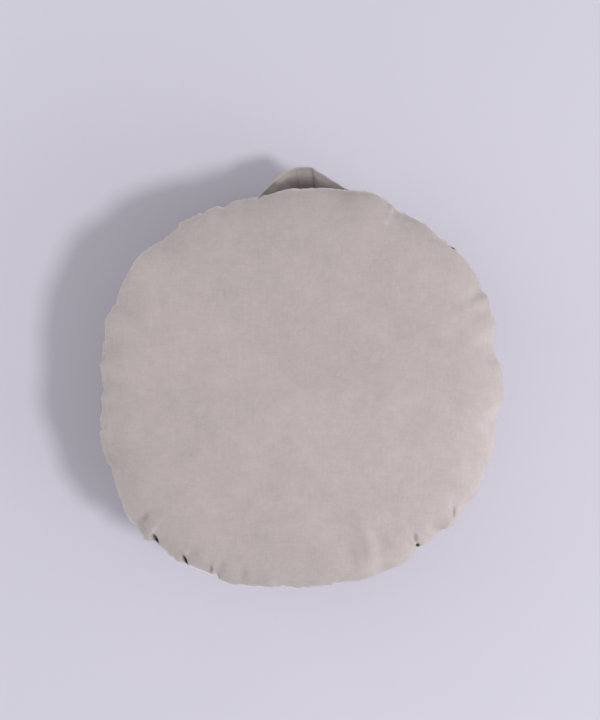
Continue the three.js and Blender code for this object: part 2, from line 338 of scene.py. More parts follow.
@dataclass(frozen=True)
class Stuffing:
    """The filling's push and the velvet's stiffness, for the cloth that is blown up against its seams."""

    pressure: float = 4.0
    frames: int = 18
    quality: int = 6
    mass: float = 0.35
    tension: float = 30.0
    compression: float = 18.0
    shear: float = 8.0
    bending: float = 1.2
    cap: float = 0.0035
    slowest_wave: int = 10

    def wrinkle(self, rings: np.ndarray, cut: np.ndarray) -> np.ndarray:
        """How far the cloth of a shell moves when it is cut wider than its seams and blown up.

        Args:
            rings: The shell's points, (ring, direction, xyz), from near the pole to the waist seam.
            cut: The same points where the cloth lies before it is sewn.

        Returns:
            The move of each point, (ring, direction, outward and upward move), without the slow change.
        """
        ring_count, count = rings.shape[:2]
        mesh = bpy.data.meshes.new("stuffed_cloth")
        mesh.from_pydata(rings.reshape(-1, 3).tolist(), [], skin_faces(ring_count, count, 0))
        cloth = shown("stuffed_cloth", mesh)
        cloth.shape_key_add(name="sewn")
        cloth.shape_key_add(name="cut").data.foreach_set("co", cut.astype(np.float32).ravel())
        held = cloth.vertex_groups.new(name="held")
        last_row = (ring_count - 1) * count
        held.add([last_row + i for i in range(count)] + list(range(count)), 1.0, "REPLACE")
        self.set_up(cloth)
        for step in range(1, self.frames + 1):
            bpy.context.scene.frame_set(step)
        result = cloth.evaluated_get(bpy.context.evaluated_depsgraph_get())
        moved = np.empty(rings.size, dtype=np.float32)
        result.data.vertices.foreach_get("co", moved)
        bpy.data.objects.remove(cloth)
        bpy.data.meshes.remove(mesh)
        bpy.context.scene.frame_set(1)
        return self.without_slow_change(moved.reshape(rings.shape).astype(float) - rings)

    def set_up(self, cloth: bpy.types.Object) -> None:
        """Gives the cloth its simulation, held at the waist seam and blown up from inside.

        Args:
            cloth: The object with the sewn and the cut shape.
        """
        modifier = cloth.modifiers.new("stuffing", "CLOTH")
        settings = modifier.settings
        settings.quality = self.quality
        settings.mass = self.mass
        settings.tension_stiffness = self.tension
        settings.compression_stiffness = self.compression
        settings.shear_stiffness = self.shear
        settings.bending_stiffness = self.bending
        settings.use_pressure = True
        settings.uniform_pressure_force = self.pressure
        settings.effector_weights.gravity = 0.0
        settings.vertex_group_mass = "held"
        settings.rest_shape_key = cloth.data.shape_keys.key_blocks["cut"]
        modifier.collision_settings.use_collision = False
        modifier.point_cache.frame_start = 1
        modifier.point_cache.frame_end = self.frames

    def without_slow_change(self, moves: np.ndarray) -> np.ndarray:
        """The moves with the slow change round the pouf taken out, none longer than the cap.

        Args:
            moves: The move of each point, (ring, direction, xyz).

        Returns:
            The quick part of the moves, (ring, direction, outward and upward move).
        """
        angles = np.arange(moves.shape[1]) * 2.0 * math.pi / moves.shape[1]
        outward = np.stack([np.cos(angles), np.sin(angles)], axis=-1)
        push = np.stack([(moves[..., :2] * outward).sum(axis=-1), moves[..., 2]], axis=-1)
        waves = np.fft.rfft(push, axis=1)
        waves[:, : self.slowest_wave] = 0.0
        return capped(np.fft.irfft(waves, n=moves.shape[1], axis=1), self.cap)


@dataclass
class Shell:
    """One puffed shell: a round crown panel and the side strip that is gathered onto the waist seam."""

    name: str
    node: str
    facing: Facing
    rim_level: float
    crown_power: float
    crown_rise: float
    lobes: list[Lobe]
    gathers: list[Gather]
    folds: list[Fold] = field(default_factory=list)
    pits: list[Pit] = field(default_factory=list)
    seed: int = 1
    under_power: float = 2.2
    seam_depth: float = 0.0026
    seam_width: float = 0.0026
    gather_form: GatherForm = GatherForm()
    pit_edge: tuple[float, float] = (0.35, 1.15)
    pit_seam_gap: tuple[float, float] = (0.001, 0.006)
    directions: int = 1000
    directions_at_gather: float = 300.0
    directions_at_pit: float = 4.0
    finest_ring: float = 0.0009
    widest_ring: float = 0.0085
    widest_side_ring: float = 0.0032
    ring_growth: float = 1.08
    pucker: float = 0.0005
    pucker_waves: tuple[int, int] = (95, 190)
    pucker_place: float = 0.004
    pucker_width: float = 0.0075
    least_pucker: float = 0.6
    uneven_waves: tuple[int, int] = (3, 9)
    pleat: float = 0.0034
    pleat_waves: tuple[int, int] = (70, 125)
    pleat_sharpness: float = 1.3
    pleat_sink: float = 0.25
    pleat_reach: float = 0.34
    pleat_start: float = 0.12
    soft_wave: float = 0.0011
    soft_waves: tuple[int, int] = (14, 34)
    soft_reach: float = 0.045
    crease_width: float = 0.0022
    sewn_share: float = 0.93
    sim_directions: int = 300
    sim_side_rings: int = 12
    sim_crown_share: float = 0.72
    sim_rings: tuple[float, float, float] = (0.0042, 0.014, 1.05)
    sim_gather_share: float = 0.6
    ease: float = 0.12
    crown_calm: tuple[float, float] = (0.015, 0.07)
    crown_cap: float = 0.0014
    side_cap: float = 0.0022
    side_cap_run: tuple[float, float] = (-0.01, 0.02)
    stuffing: Stuffing = Stuffing()

    def __post_init__(self) -> None:
        """Reads the shell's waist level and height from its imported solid."""
        low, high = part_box(self.node)
        self.waist_level = low[2] if self.facing is Facing.UP else high[2]
        self.height = high[2] - low[2]

    def rim(self, angles: np.ndarray) -> np.ndarray:
        """The radius of the rim seam in each direction."""
        pushes = [lobe.push * hill(turn_between(angles, lobe.angle), lobe.spread) for lobe in self.lobes]
        return RIM_RADIUS + sum(pushes)

    def section(self, rim: np.ndarray, crown: np.ndarray, under: np.ndarray) -> np.ndarray:
        """The shell's section in each direction, without its seams and gathers.

        Args:
            rim: The rim's radius in each direction.
            crown: Turns from the pole, 0, to the rim, a quarter turn, in radians.
            under: Turns from the rim, 0, to the waist seam, a quarter turn, in radians.

        Returns:
            (ring, direction, radius and height above the waist seam).
        """
        crown_reach = np.sin(crown) ** (2 / self.crown_power)
        crown_lift = np.clip(np.cos(crown), 0, 1) ** (2 / self.crown_power)
        under_reach = np.clip(np.cos(under), 0, 1) ** (2 / self.under_power)
        under_lift = 1 - np.sin(under) ** (2 / self.under_power)
        crown_radius = crown_reach[:, None] * rim
        side_radius = WAIST_RADIUS + under_reach[:, None] * (rim - WAIST_RADIUS)
        heights = [self.rim_level + self.crown_rise * crown_lift, self.rim_level * under_lift]
        height = np.repeat(np.concatenate(heights)[:, None], len(rim), 1)
        return np.stack([np.concatenate([crown_radius, side_radius]), height], axis=-1)

    def walked(self, section: np.ndarray) -> np.ndarray:
        """The way walked down the cloth from the first ring, (ring, direction)."""
        steps = np.linalg.norm(np.diff(section, axis=0), axis=-1)
        return np.concatenate([np.zeros((1, section.shape[1])), np.cumsum(steps, axis=0)])

    def ring_turns(self, steps: np.ndarray, under_steps: np.ndarray) -> tuple[np.ndarray, np.ndarray]:
        """The turns of the rings that lie at given ways from the rim seam, on the mean section.

        Args:
            steps: Ways up the crown from the rim seam, rising.
            under_steps: Ways down the side from the rim seam, rising.

        Returns:
            The crown's turns from the pole to the rim, and the side's turns below the rim.
        """
        turns, crown_walk, under_walk = self.mean_walks()
        crown = np.interp(crown_walk[-1] - steps[::-1], crown_walk, turns)
        under = np.interp(under_steps, under_walk, turns)
        return crown, under[1:]

    def mean_walks(self) -> tuple[np.ndarray, np.ndarray, np.ndarray]:
        """The ways walked on the mean section.

        Returns:
            Turns from 0 to a quarter turn, and the ways walked there on the crown and on the side.
        """
        samples = 4000
        turns = np.linspace(0.0, math.pi / 2, samples)
        both = self.section(np.array([RIM_RADIUS]), turns, turns)
        return turns, self.walked(both[: len(turns)])[:, 0], self.walked(both[len(turns) :])[:, 0]

    def lengths(self) -> tuple[float, float]:
        """The cloth's way from the pole to the rim seam, and from there to the waist seam."""
        crown_walk, under_walk = self.mean_walks()[1:]
        return float(crown_walk[-1]), float(under_walk[-1])

    def close_directions(self) -> np.ndarray:
        """Directions round the shell, closer together where a gather is pinched in.

        Returns:
            Rising directions in degrees.
        """
        widths_round_gather, lengths_round_pit = 3.2, 1.6
        samples = 7200
        even = np.linspace(0.0, 360.0, samples + 1)
        density = np.ones_like(even)
        for gather in self.gathers:
            reach = math.degrees(widths_round_gather * gather.width / RIM_RADIUS)
            near = hill(turn_between(even, gather.angle), reach)
            density += self.directions_at_gather * gather.depth * near
        for pit in self.pits:
            reach = math.degrees(lengths_round_pit * pit.length / RIM_RADIUS)
            density += self.directions_at_pit * hill(turn_between(even, pit.place[0]), reach)
        walk = np.concatenate([[0.0], np.cumsum((density[1:] + density[:-1]) / 2)])
        return np.interp(np.arange(self.directions) / self.directions * walk[-1], walk, even)

    def gathered(self, angles: np.ndarray, s: np.ndarray) -> np.ndarray:
        """How far the rim's gathers push the cloth out or pull it in.

        Args:
            angles: Directions in degrees.
            s: The way up the cloth from the rim seam, (ring, direction); below the seam it is under 0.

        Returns:
            The push along the cloth's normal, (ring, direction).
        """
        form = self.gather_form
        push = np.zeros_like(s)
        for gather in self.gathers:
            along = np.radians(turn_between(angles, gather.angle)) * RIM_RADIUS
            reach = np.where(s > 0, gather.reach, gather.reach * form.below_reach)
            narrowing = 1.0 + form.narrowing * np.clip(s, 0, None) / gather.reach
            fading = form.long_share * hill(s, reach) + form.short_share * hill(s, reach * form.short_reach)
            pit = hill(along * narrowing, gather.width) * fading
            from_roll = along - gather.side * gather.width * form.roll_place
            from_far_roll = along + gather.side * gather.width * form.far_place
            roll = hill(from_roll, gather.width * form.roll_width) * hill(s, reach * form.roll_reach)
            far_roll = hill(from_far_roll, gather.width) * hill(s, reach * form.far_reach)
            push += gather.ridge * (roll + form.far_height * far_roll) - gather.depth * pit
        return push

    def pitted(self, points: np.ndarray, s: np.ndarray) -> np.ndarray:
        """How far the slits beside the gathers' rolls sink.

        Args:
            points: (ring, direction, xyz), seen along the shell's axis.
            s: The way up the cloth from the rim seam, (ring, direction).

        Returns:
            (ring, direction) depths.
        """
        sunk = np.zeros(points.shape[:2])
        for pit in self.pits:
            way = math.radians(pit.place[0]) + math.pi / 2 + math.radians(pit.turn)
            rel = points[..., :2] - polar(pit.place)
            along = rel[..., 0] * math.cos(way) + rel[..., 1] * math.sin(way)
            off = rel[..., 1] * math.cos(way) - rel[..., 0] * math.sin(way)
            size = np.hypot(along / pit.length, off / pit.width)
            sunk = np.maximum(sunk, pit.depth * (1.0 - smooth_step(size, *self.pit_edge)))
        return sunk * smooth_step(s, *self.pit_seam_gap)

    def folded(self, points: np.ndarray) -> np.ndarray:
        """The height of the crown's soft folds at each point.

        Args:
            points: (ring, direction, xyz), seen along the shell's axis.

        Returns:
            (ring, direction) heights.
        """
        lift = np.zeros(points.shape[:2])
        for fold in self.folds:
            start = polar(fold.start)
            line = polar(fold.end) - start
            rel = points[..., :2] - start
            share = (rel @ line) / (line @ line)
            off = (rel[..., 0] * line[1] - rel[..., 1] * line[0]) / np.linalg.norm(line)
            lift += fold.height * hill(off, fold.width) * hill(share - 0.5, 0.5)
        return lift

    def place(self, section: np.ndarray, angles: np.ndarray) -> np.ndarray:
        """Section points as points above the waist seam's plane.

        Args:
            section: (ring, direction, radius and height).
            angles: Directions in degrees.

        Returns:
            (ring, direction, xyz).
        """
        turn = np.radians(angles)
        radius, height = section[..., 0], section[..., 1]
        return np.stack([radius * np.cos(turn), radius * np.sin(turn), height], axis=-1)

    def wrinkles(self, crown_ways: np.ndarray, under_ways: np.ndarray, angles: np.ndarray) -> np.ndarray:
        """The puckers of the stuffed cloth, read at the shell's rings and directions.

        Args:
            crown_ways: Ways up the crown from the rim seam, rising.
            under_ways: Ways down the side from the rim seam, rising.
            angles: The shell's directions in degrees.

        Returns:
            (ring, direction, outward and upward move).
        """
        crown_length, under_length = self.lengths()
        crown_steps = graded_steps(crown_length * self.sim_crown_share, *self.sim_rings)
        under_steps = np.linspace(0.0, under_length, self.sim_side_rings)
        moves = self.read_round(self.stuffed(crown_steps, under_steps), angles)
        sim_places = np.concatenate([-crown_steps[::-1], under_steps[1:]])
        places = np.concatenate([-crown_ways[::-1], under_ways[1:]])
        moves = curve_through(sim_places, moves, places)
        cap = self.crown_cap + self.side_cap * smooth_step(places, *self.side_cap_run)[:, None, None]
        calm = 1.0 - smooth_step(-places, *self.crown_calm)
        return capped(moves, cap) * calm[:, None, None]

    def stuffed(self, crown_steps: np.ndarray, under_steps: np.ndarray) -> np.ndarray:
        """How the shell's cloth moves when it is stuffed, on a coarse set of rings.

        Args:
            crown_steps: Ways up the crown from the rim seam, rising.
            under_steps: Ways down the side from the rim seam, rising.

        Returns:
            (ring, even direction, outward and upward move).
        """
        crown_length = self.lengths()[0]
        even = np.arange(self.sim_directions) * 360.0 / self.sim_directions
        crown, under = self.ring_turns(crown_steps, under_steps)
        section = self.section(self.rim(even), crown, under)
        walk = self.walked(section)
        s = walk[len(crown_steps) - 1] - walk
        gathers = self.gathered(even, s) * self.sim_gather_share
        rings = self.place(section, even) + self.along_normal(self.normals(section), even, gathers)
        wide = 1.0 + self.ease * (crown_length / RIM_RADIUS - 1.0)
        side_rings = np.full(len(under_steps) - 1, crown_length)
        from_pole = np.concatenate([crown_length - crown_steps[::-1], side_rings])
        below = np.concatenate([np.zeros(len(crown_steps)), under_steps[1:]])
        spread = RIM_RADIUS * wide / crown_length
        flat = np.stack([from_pole * spread, -below], axis=-1)
        cut = self.place(np.repeat(flat[:, None], len(even), 1), even)
        return self.stuffing.wrinkle(rings, cut)

    def read_round(self, moves: np.ndarray, angles: np.ndarray) -> np.ndarray:
        """Moves at even directions, read at other directions.

        Args:
            moves: (ring, even direction, outward and upward move).
            angles: The directions to read at, in degrees.

        Returns:
            (ring, direction, outward and upward move).
        """
        dense = 4096
        fine = np.fft.irfft(np.fft.rfft(moves, axis=1), n=dense, axis=1) * dense / self.sim_directions
        fine = np.concatenate([fine, fine[:, :1]], axis=1)
        at = np.arange(dense + 1) * 360.0 / dense
        ways = [[np.interp(angles, at, ring[:, way]) for ring in fine] for way in range(2)]
        return np.stack(ways, axis=-1)

    def normals(self, section: np.ndarray) -> np.ndarray:
        """The outward normal of each point of the section.

        Args:
            section: (ring, direction, radius and height).

        Returns:
            (ring, direction, outward and upward part), of length 1.
        """
        run = np.gradient(section, axis=0)
        normal = np.stack([-run[..., 1], run[..., 0]], axis=-1)
        return normal / np.maximum(np.linalg.norm(normal, axis=-1, keepdims=True), TINY)

    def along_normal(self, normal: np.ndarray, angles: np.ndarray, push: np.ndarray) -> np.ndarray:
        """A push along the section's normals as xyz moves, (ring, direction, xyz)."""
        return self.place(normal * push[..., None], angles)

    def build(self) -> bpy.types.Object:
        """The shell as an undressed object.

        Returns:
            The object, with its cloth map and crease attribute, which holds its painted shade.
        """
        angles = self.close_directions()
        crown_length, under_length = self.lengths()
        crown_ways = graded_steps(crown_length, self.finest_ring, self.widest_ring, self.ring_growth)[:-1]
        under_half = graded_steps(under_length / 2, self.finest_ring, self.widest_side_ring, self.ring_growth)
        under_ways = np.concatenate([under_half, under_length - under_half[::-1][1:]])
        crown, under = self.ring_turns(crown_ways, under_ways)
        section = self.section(self.rim(angles), crown, under)
        walk = self.walked(section)
        rim_ring = len(crown_ways) - 1
        s = walk[rim_ring] - walk
        points = self.place(section, angles)
        normal = self.normals(section)
        down = np.clip(-s / under_length, 0.0, 1.0)
        held = 1.0 - smooth_step(down, self.sewn_share, 1.0)
        push = self.gathered(angles, s) + self.relief(angles, s, down) + self.folded(points)
        moves = self.wrinkles(crown_ways, under_ways, angles)
        points += self.place(moves, angles) * held[..., None]
        points += self.along_normal(normal, angles, push * held)
        sunk = self.pitted(points, s)
        points[..., 2] -= sunk
        if self.facing is Facing.DOWN:
            points[..., 2] = np.minimum(points[..., 2], self.height)
        rings = self.to_frame(points)
        pole = self.to_frame(np.array([0.0, 0.0, points[0, :, 2].mean()]))
        lower = self.to_frame(np.zeros(3))
        flats = self.flats(angles, s, rim_ring, crown_length)
        return Panels(rings, pole, lower, flats, self.painted_shade_in_creases(s, push, sunk)).piece(self.name)

    def relief(self, angles: np.ndarray, s: np.ndarray, down: np.ndarray) -> np.ndarray:
        """The rim seam's groove, the puckers beside it, the pleats at the waist and the cloth's soft waves.

        Args:
            angles: Directions in degrees.
            s: The way up the cloth from the rim seam, (ring, direction).
            down: The share of the way from the rim seam to the waist seam, (ring, direction).

        Returns:
            The push along the cloth's normal, (ring, direction).
        """
        uneven = round_noise(angles, *self.uneven_waves, self.seed + 7)
        strength = self.pucker * (self.least_pucker + (1.0 - self.least_pucker) * uneven)
        puckers = round_noise(angles, *self.pucker_waves, self.seed) * strength
        pleats = np.tanh(self.pleat_sharpness * round_noise(angles, *self.pleat_waves, self.seed + 1))
        pleats = self.pleat * (pleats - self.pleat_sink)
        waves = self.soft_wave * round_noise(angles, *self.soft_waves, self.seed + 2)
        from_waist = 1.0 - down
        push = -self.seam_depth * hill(s, self.seam_width)
        push += puckers * hill(np.abs(s) - self.pucker_place, self.pucker_width)
        push += pleats * hill(from_waist, self.pleat_reach) * smooth_step(from_waist, 0.0, self.pleat_start)
        push += waves * (hill(s, self.soft_reach) * (s > 0) + (s <= 0))
        return push

    def painted_shade_in_creases(self, s: np.ndarray, push: np.ndarray, sunk: np.ndarray) -> np.ndarray:
        """How much painted shade the cloth gets, from 0 to 1: in the rim seam's groove, in the gathers' pits
        and in the slits.

        Args:
            s: The way up the cloth from the rim seam, (ring, direction).
            push: The push along the cloth's normal, (ring, direction).
            sunk: The depths of the slits, (ring, direction).

        Returns:
            (ring, direction) shares.
        """
        # painted shade: the velvet is darkened in the seam groove, where gathers sink and in the slits
        darkest_push, darkest_pit = 0.006, 0.004
        in_seam = hill(s, self.crease_width)
        return np.clip(in_seam + np.clip(-push / darkest_push, 0, 1) + sunk / darkest_pit, 0.0, 1.0)

    def to_frame(self, points: np.ndarray) -> np.ndarray:
        """Points above the waist seam's plane as points in the frame."""
        way = self.facing.value
        return points * np.array([1.0, way, way]) + np.array([0.0, 0.0, self.waist_level])

    def flats(
        self,
        angles: np.ndarray,
        s: np.ndarray,
        rim_ring: int,
        crown_length: float,
    ) -> list[tuple[int, np.ndarray]]:
        """Where the shell's two panels lie flat.

        Args:
            angles: Directions in degrees.
            s: The way up the cloth from the rim seam, (ring, direction).
            rim_ring: The number of the ring on the rim seam.
            crown_length: The crown panel's radius.

        Returns:
            The crown panel and the side strip, each as its first ring and its cloth places.
        """
        closed = np.radians(np.append(angles, angles[0] + 360.0))
        ways = np.concatenate([s, s[:, :1]], axis=1)
        from_pole = crown_length - ways
        crown = np.stack([from_pole * np.cos(closed), from_pole * np.sin(closed)], axis=-1)
        side = np.stack([np.broadcast_to(closed * RIM_RADIUS, ways.shape), SIDE_STRIP_START + ways], axis=-1)
        return [(0, crown), (rim_ring, side)]


@dataclass
class WaistBand:
    """The filled band that the two shells are sewn to."""

    name: str = "waist_band_cover"
    node: str = "waist_band"
    directions: int = 720
    rings: int = 33
    ripple: float = 0.0016
    seam_reach: float = 0.55
    seam_share: float = 0.55
    through_share: float = 0.5
    calmest_share: float = 0.25
    seam_run: float = 0.08
    seam_waves: tuple[int, int] = (60, 120)
    through_waves: tuple[int, int] = (24, 60)
    crease_reach: float = 0.1
    painted_trough_shade: float = 0.2
    seed: int = 31
    handle_angle: float = 86.0
    handle_spread: float = 42.0

    def __post_init__(self) -> None:
        """Reads the band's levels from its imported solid."""
        low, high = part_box(self.node)
        self.middle = (low[2] + high[2]) / 2
        self.half = (high[2] - low[2]) / 2

    def radius(self, share: np.ndarray) -> np.ndarray:
        """The band's radius at shares of its half height, from -1 to 1."""
        return WAIST_RADIUS + BAND_BULGE * (1 - np.minimum(np.abs(share), 1) ** BAND_POWER)

    def build(self) -> bpy.types.Object:
        """The band as an undressed object.

        Returns:
            The object, with its cloth map and crease attribute, which holds its painted shade.
        """
        angles = np.arange(self.directions) * 360.0 / self.directions
        share = np.cos(np.linspace(0.0, math.pi, self.rings))[:, None]
        from_seam = 1.0 - np.abs(share)
        wave = self.ripples(angles, share)
        radius = self.radius(share) + wave * smooth_step(from_seam, 0.0, self.seam_run)
        turn = np.radians(angles)
        level = np.repeat(self.middle + self.half * share, len(angles), axis=1)
        rings = np.stack([radius * np.cos(turn), radius * np.sin(turn), level], axis=-1)
        closed = np.append(turn, turn[0] + 2 * math.pi)
        flat = np.stack(np.broadcast_arrays(closed * WAIST_RADIUS, BAND_START + self.half * share), axis=-1)
        # painted shade in the ripples' troughs and beside both seams
        trough = -wave / self.ripple * self.painted_trough_shade
        crease = np.clip(hill(from_seam, self.crease_reach) + trough, 0, 1)
        top = np.array([0.0, 0.0, self.middle + self.half])
        base = np.array([0.0, 0.0, self.middle - self.half])
        return Panels(rings, top, base, [(0, flat)], crease).piece(self.name)

    def ripples(self, angles: np.ndarray, share: np.ndarray) -> np.ndarray:
        """The band's ripples, which start at its seams and are calmer behind the handle.

        Args:
            angles: Directions in degrees.
            share: Shares of the band's half height from -1 to 1, (ring, 1).

        Returns:
            The outward move, (ring, direction).
        """
        upper = round_noise(angles, *self.seam_waves, self.seed)
        lower = round_noise(angles, *self.seam_waves, self.seed + 1)
        through = round_noise(angles, *self.through_waves, self.seed + 2)
        near_seam = np.clip(1.0 - (1.0 - np.abs(share)) / self.seam_reach, 0, 1)
        seam = np.where(share > 0, upper, lower) * near_seam
        away = 1.0 - hill(turn_between(angles, self.handle_angle), self.handle_spread)
        strength = self.ripple * (self.calmest_share + (1.0 - self.calmest_share) * away)
        return (self.seam_share * seam + self.through_share * through * (1 - share**2)) * strength


@dataclass(frozen=True)
class StrapPoint:
    """A point on the strap's middle line and how the strap stands there.

    x runs along the wall, y outwards and z up from the band's middle. lean tips the upper edge outwards and
    turn is the way it leans, round from +Y towards -X, both in degrees.
    """

    x: float
    y: float
    z: float
    lean: float
    turn: float


@dataclass
class CarryHandle:
    """The folded velvet strap, sewn flat to the band at both ends, with its edge stitching."""

    route: list[StrapPoint]
    name: str = "carry_strap"
    node: str = "carry_handle"
    width: float = 0.046
    thickness: float = 0.006
    edge_thickness: float = 0.0034
    stitch_inset: float = 0.0042
    lap: float = 0.030
    lap_rows: int = 4
    left_root: float = 110.0
    right_root: float = 62.0
    step: float = 0.0014
    across: int = 30
    kinks: tuple[tuple[float, float], ...] = ((0.0246, 1.0), (-0.0018, 0.45))
    kink_depth: float = 0.0010
    kink_width: float = 0.0016
    edge_run: tuple[float, float] = (0.003, 0.012)
    stitch_dent: float = 0.16
    stitch_dent_width: float = 0.0011
    painted_stitch_shade: float = 0.25
    painted_stitch_shade_width: float = 0.0012
    edge_power: float = 0.62
    face_power: float = 0.35
    waves: tuple[tuple[float, float, float], ...] = ((0.0008, 0.047, 0.0), (0.0005, 0.021, 1.0))
    wave_run: tuple[float, float] = (0.03, 0.06)

    def __post_init__(self) -> None:
        """Reads the height of the band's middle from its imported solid."""
        low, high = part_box("waist_band")
        self.middle = (low[2] + high[2]) / 2

    def rows(self) -> np.ndarray:
        """The strap's middle line from the left lap to the right lap.

        Returns:
            (x, y, z, lean, turn) rows.
        """
        wall = WAIST_RADIUS + BAND_BULGE + self.thickness / 2 + PIECE_GAP
        lap = math.degrees(self.lap / wall)
        shares = np.linspace(1.0, 0.0, self.lap_rows)
        left = [self.on_wall(self.left_root + lap * share, wall) for share in shares]
        right = [self.on_wall(self.right_root - lap * share, wall) for share in shares[::-1]]
        loop = [(p.x, p.y, p.z, p.lean, p.turn) for p in self.route]
        return np.array(left + loop + right)

    def on_wall(self, angle: float, wall: float) -> tuple[float, float, float, float, float]:
        """A point of the strap that lies flat on the band."""
        x, y = polar((angle, wall))
        return (float(x), float(y), 0.0, 0.0, angle - 90.0)

    def stations(self) -> tuple[np.ndarray, np.ndarray, np.ndarray, np.ndarray]:
        """The strap's middle line in small steps.

        Returns:
            Points, the direction across the width, the direction through the cloth, and the way walked.
        """
        rows = self.rows()
        chords = np.linalg.norm(np.diff(rows[:, :3], axis=0), axis=1)
        known = np.concatenate([[0.0], np.cumsum(chords)])
        fine = np.linspace(0.0, known[-1], int(known[-1] / self.step))
        line = curve_through(known, rows, fine)
        along = np.gradient(line[:, :3], axis=0)
        lean, turn = np.radians(line[:, 3:5].T)
        across = np.stack([-np.sin(turn) * np.sin(lean), np.cos(turn) * np.sin(lean), np.cos(lean)], axis=-1)
        through = np.cross(across, along)
        through /= np.linalg.norm(through, axis=1, keepdims=True)
        points = line[:, :3] + np.array([0.0, 0.0, self.middle])
        return points, across, through, fine

    def section(self) -> tuple[np.ndarray, np.ndarray]:
        """The strap's section, once round from the upper edge.

        Returns:
            Places across the strap's width, and places through its thickness there.
        """
        turn = np.arange(self.across) * 2 * math.pi / self.across
        cosine, sine = np.cos(turn), np.sin(turn)
        w = np.sign(cosine) * np.abs(cosine) ** self.edge_power * self.width / 2
        from_edge = self.width / 2 - np.abs(w)
        swelling = self.thickness - self.edge_thickness
        full = self.edge_thickness + swelling * smooth_step(from_edge, *self.edge_run)
        dent = 1.0 - self.stitch_dent * hill(from_edge - self.stitch_inset, self.stitch_dent_width)
        h = np.sign(sine) * np.abs(sine) ** self.face_power * full / 2 * dent
        return w, h

    def build(self) -> bpy.types.Object:
        """The strap as an undressed object.

        Returns:
            The object, with its cloth map and crease attribute, which holds its painted shade.
        """
        points, across, through, walk = self.stations()
        w, h = self.section()
        kink = sum(share * hill(points[:, 0] - place, self.kink_width) for place, share in self.kinks)
        wave = sum(size * np.sin(walk * 2 * math.pi / length + start) for size, length, start in self.waves)
        free = smooth_step(walk, *self.wave_run) * smooth_step(walk[-1] - walk, *self.wave_run)
        steepness = 1.2
        towards_upper_edge = np.clip(steepness * (w / self.width + 0.5), 0, 1)
        shift = (wave * free - self.kink_depth * kink)[:, None] * towards_upper_edge
        rings = points[:, None] + across[:, None] * w[:, None] + through[:, None] * (h + shift)[..., None]
        steps = np.hypot(np.diff(w, append=w[0]), np.diff(h, append=h[0]))
        girth = np.concatenate([[0.0], np.cumsum(steps)])
        flat = np.stack(np.broadcast_arrays(walk[:, None], STRAP_START + girth), axis=-1)
        # painted shade along the stitch rows and in the kinks' folds
        from_seam = self.width / 2 - np.abs(w) - self.stitch_inset
        along_seam = self.painted_stitch_shade * hill(from_seam, self.painted_stitch_shade_width)
        crease = np.clip(kink[:, None] + along_seam, 0, 1)
        ends = rings[0].mean(axis=0), rings[-1].mean(axis=0)
        return Panels(rings, *ends, [(0, flat)], crease).piece(self.name)

    def length(self) -> float:
        """The strap's length along its middle line."""
        return float(self.stations()[3][-1])

    def stitch_lines(self) -> list[np.ndarray]:
        """The stitch rows along both edges, on both faces of the strap.

        Returns:
            One list of points for each row.
        """
        points, across, through = self.stations()[:3]
        inset = self.width / 2 - self.stitch_inset
        lift = self.edge_thickness / 2 * (1.0 - self.stitch_dent)
        last_steps = 3
        return [
            (points + across * inset * side + through * lift * face)[last_steps:-last_steps]
            for side in (1.0, -1.0)
            for face in (1.0, -1.0)
        ]


